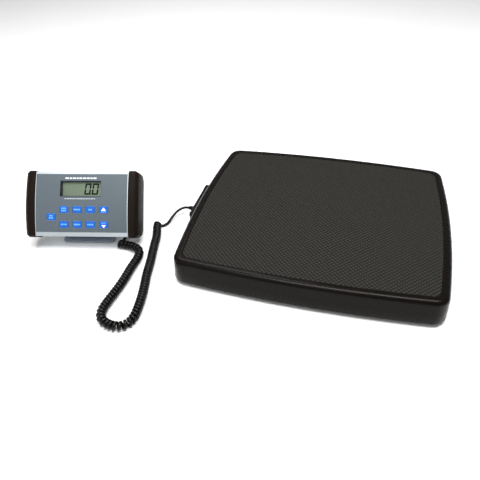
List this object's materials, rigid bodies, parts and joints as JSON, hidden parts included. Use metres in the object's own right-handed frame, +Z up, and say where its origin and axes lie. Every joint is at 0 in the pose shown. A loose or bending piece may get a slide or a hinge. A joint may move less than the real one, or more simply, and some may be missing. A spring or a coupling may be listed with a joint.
{
  "type": "animal weighing scale",
  "caption": "Low platform scale with a ribbed mat on load-cell feet, joined by a curly cord to a tilting display with keys on a desk bracket.",
  "frame": {"origin": "on the table, under the middle of the platform and display taken together without the cord", "axes": "+X from the display to the platform, +Y to the platform's rear, +Z up"},
  "size_m": [0.5946, 0.4053, 0.0969],
  "materials": {
    "black_abs": "satin moulded plastic",
    "mat_rubber": "matt, diamond-ribbed",
    "zinc_steel": "zinc plated",
    "screw_steel": "bright zinc",
    "cell_aluminium": "milled",
    "black_rubber": "matt",
    "green_board": "solder mask",
    "part_plastic": "moulded nylon",
    "chip_black": "moulded epoxy",
    "wire_pvc": "PVC",
    "gloss_black": "gloss",
    "cord_pvc": "satin PVC",
    "housing_aluminium": "clear anodised",
    "cap_abs": "fine texture",
    "overlay_film": "satin polycarbonate film",
    "clear_window": "clear acrylic",
    "bezel_black": "matt",
    "lcd_green": "reflective liquid crystal",
    "lcd_ink": "dark segments",
    "key_blue": "embossed film",
    "battery_wrap": "plain wrapper",
    "washer_nylon": "nylon",
    "bracket_paint": "powder coat"
  },
  "bodies": {
    "platform": {"platform_cover": "black_abs", "platform_mat": "mat_rubber", "top_plate": "zinc_steel", "base_tray": "black_abs", "tray_screws": "screw_steel", "load_cell_fl": "cell_aluminium", "load_cell_fr": "cell_aluminium", "load_cell_rl": "cell_aluminium", "load_cell_rr": "cell_aluminium", "load_cell_screws": "screw_steel", "junction_board": "green_board", "junction_parts": "part_plastic", "inner_wires": "wire_pvc", "cable_exit_cover": "gloss_black", "platform_strain_relief": "cord_pvc", "cord_lead_platform": "cord_pvc", "cord_coil": "cord_pvc", "cord_lead_display": "cord_pvc"},
    "foot_fl": {"foot_fl": "black_rubber"},
    "foot_fr": {"foot_fr": "black_rubber"},
    "foot_rl": {"foot_rl": "black_rubber"},
    "foot_rr": {"foot_rr": "black_rubber"},
    "display_stand": {"bracket": "bracket_paint", "bracket_pads": "black_rubber"},
    "display_head": {"display_housing": "housing_aluminium", "end_cap_left": "cap_abs", "end_cap_right": "cap_abs", "gasket_left": "black_rubber", "gasket_right": "black_rubber", "cap_screws": "screw_steel", "front_overlay": "overlay_film", "lcd_window": "clear_window", "lcd_bezel": "bezel_black", "lcd_glass": "lcd_green", "lcd_segments": "lcd_ink", "keypad_board": "green_board", "contact_domes": "screw_steel", "main_board": "green_board", "main_board_parts": "chip_black", "board_screws": "screw_steel", "battery_box": "cap_abs", "batteries": "battery_wrap", "battery_contacts": "screw_steel", "display_strain_relief": "cord_pvc", "pivot_lug": "cap_abs", "lug_screws": "screw_steel", "pivot_screws": "screw_steel", "friction_washers": "washer_nylon"},
    "key_power": {"key_power": "key_blue"},
    "key_units": {"key_units": "key_blue"},
    "key_hold": {"key_hold": "key_blue"},
    "key_zero": {"key_zero": "key_blue"},
    "key_up": {"key_up": "key_blue"},
    "key_recall": {"key_recall": "key_blue"},
    "key_clear": {"key_clear": "key_blue"},
    "key_enter": {"key_enter": "key_blue"},
    "key_down": {"key_down": "key_blue"},
    "battery_door": {"battery_door": "cap_abs"}
  },
  "joints": [
    {"name": "foot_fl_travel", "type": "slide", "parent": "platform", "child": "foot_fl", "axis": [0, 0, 1], "range_m": [0, 0.0004], "stiffness_N_per_m": 100000},
    {"name": "foot_fr_travel", "type": "slide", "parent": "platform", "child": "foot_fr", "axis": [0, 0, 1], "range_m": [0, 0.0004], "stiffness_N_per_m": 100000},
    {"name": "foot_rl_travel", "type": "slide", "parent": "platform", "child": "foot_rl", "axis": [0, 0, 1], "range_m": [0, 0.0004], "stiffness_N_per_m": 100000},
    {"name": "foot_rr_travel", "type": "slide", "parent": "platform", "child": "foot_rr", "axis": [0, 0, 1], "range_m": [0, 0.0004], "stiffness_N_per_m": 100000},
    {"name": "display_slide", "type": "slide", "parent": "platform", "child": "display_stand", "axis": [-1, 0, 0], "range_m": [0, 0.06], "deforming": ["cord_coil", "cord_lead_platform"]},
    {"name": "display_tilt", "type": "hinge", "parent": "display_stand", "child": "display_head", "pos_m": [-0.21397, -0.06076, 0.0242], "axis": [-0.9781, -0.2079, 0], "range_deg": [-4, 20], "deforming": ["cord_lead_display"]},
    {"name": "key_power_press", "type": "slide", "parent": "display_head", "child": "key_power", "axis": [-0.1604, 0.7548, -0.6361], "range_m": [0, 0.0005], "stiffness_N_per_m": 1500, "springref_m": -0.0003},
    {"name": "key_units_press", "type": "slide", "parent": "display_head", "child": "key_units", "axis": [-0.1604, 0.7548, -0.6361], "range_m": [0, 0.0005], "stiffness_N_per_m": 1500, "springref_m": -0.0003},
    {"name": "key_hold_press", "type": "slide", "parent": "display_head", "child": "key_hold", "axis": [-0.1604, 0.7548, -0.6361], "range_m": [0, 0.0005], "stiffness_N_per_m": 1500, "springref_m": -0.0003},
    {"name": "key_zero_press", "type": "slide", "parent": "display_head", "child": "key_zero", "axis": [-0.1604, 0.7548, -0.6361], "range_m": [0, 0.0005], "stiffness_N_per_m": 1500, "springref_m": -0.0003},
    {"name": "key_up_press", "type": "slide", "parent": "display_head", "child": "key_up", "axis": [-0.1604, 0.7548, -0.6361], "range_m": [0, 0.0005], "stiffness_N_per_m": 1500, "springref_m": -0.0003},
    {"name": "key_recall_press", "type": "slide", "parent": "display_head", "child": "key_recall", "axis": [-0.1604, 0.7548, -0.6361], "range_m": [0, 0.0005], "stiffness_N_per_m": 1500, "springref_m": -0.0003},
    {"name": "key_clear_press", "type": "slide", "parent": "display_head", "child": "key_clear", "axis": [-0.1604, 0.7548, -0.6361], "range_m": [0, 0.0005], "stiffness_N_per_m": 1500, "springref_m": -0.0003},
    {"name": "key_enter_press", "type": "slide", "parent": "display_head", "child": "key_enter", "axis": [-0.1604, 0.7548, -0.6361], "range_m": [0, 0.0005], "stiffness_N_per_m": 1500, "springref_m": -0.0003},
    {"name": "key_down_press", "type": "slide", "parent": "display_head", "child": "key_down", "axis": [-0.1604, 0.7548, -0.6361], "range_m": [0, 0.0005], "stiffness_N_per_m": 1500, "springref_m": -0.0003},
    {"name": "battery_door_pull", "type": "slide", "parent": "display_head", "child": "battery_door", "axis": [-0.1604, 0.7548, -0.6361], "range_m": [0, 0.02]}
  ]
}
